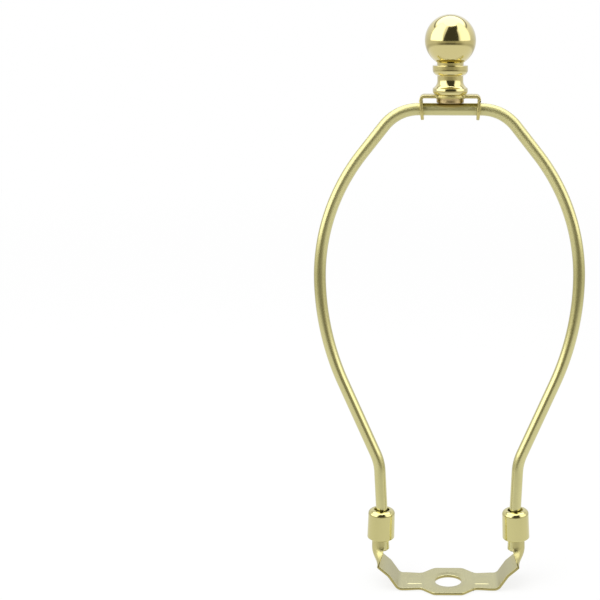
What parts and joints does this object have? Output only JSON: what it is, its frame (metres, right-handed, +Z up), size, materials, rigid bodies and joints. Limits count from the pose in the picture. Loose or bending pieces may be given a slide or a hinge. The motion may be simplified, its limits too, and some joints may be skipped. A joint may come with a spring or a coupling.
{
  "type": "lamp harp",
  "caption": "Detachable lamp harp: a brass wire loop with a stamped saddle, sliding locking ferrules, a swivel top and a ball finial.",
  "frame": {"origin": "centre of the saddle's hole, on the low rim that sits on the lamp's neck", "axes": "+Z up to the finial, +X to the right of a viewer who faces the loop, +Y away from the viewer; the loop lies in the XZ plane"},
  "size_m": [0.1078, 0.0248, 0.2335],
  "materials": {
    "wire_brass": "polished",
    "sheet_brass": "polished",
    "ferrule_brass": "polished",
    "finial_brass": "polished",
    "stud_brass": "satin"
  },
  "bodies": {
    "frame": {"harp_wire": "wire_brass", "saddle": "sheet_brass"},
    "swivel": {"swivel_bracket": "sheet_brass", "threaded_stud": "stud_brass"},
    "finial": {"finial": "finial_brass"},
    "ferrule_left": {"ferrule_left": "ferrule_brass"},
    "ferrule_right": {"ferrule_right": "ferrule_brass"}
  },
  "joints": [
    {"name": "bracket_swivel", "type": "hinge", "parent": "frame", "child": "swivel", "pos_m": [0, 0, 0.19752], "axis": [1, 0, 0], "continuous": true},
    {"name": "finial_screw", "type": "slide", "parent": "swivel", "child": "finial", "axis": [0, 0, 1], "range_m": [0, 0.012]},
    {"name": "ferrule_left_slide", "type": "slide", "parent": "frame", "child": "ferrule_left", "axis": [0, 0, 1], "range_m": [0, 0.0134]},
    {"name": "ferrule_right_slide", "type": "slide", "parent": "frame", "child": "ferrule_right", "axis": [0, 0, 1], "range_m": [0, 0.0134]}
  ]
}
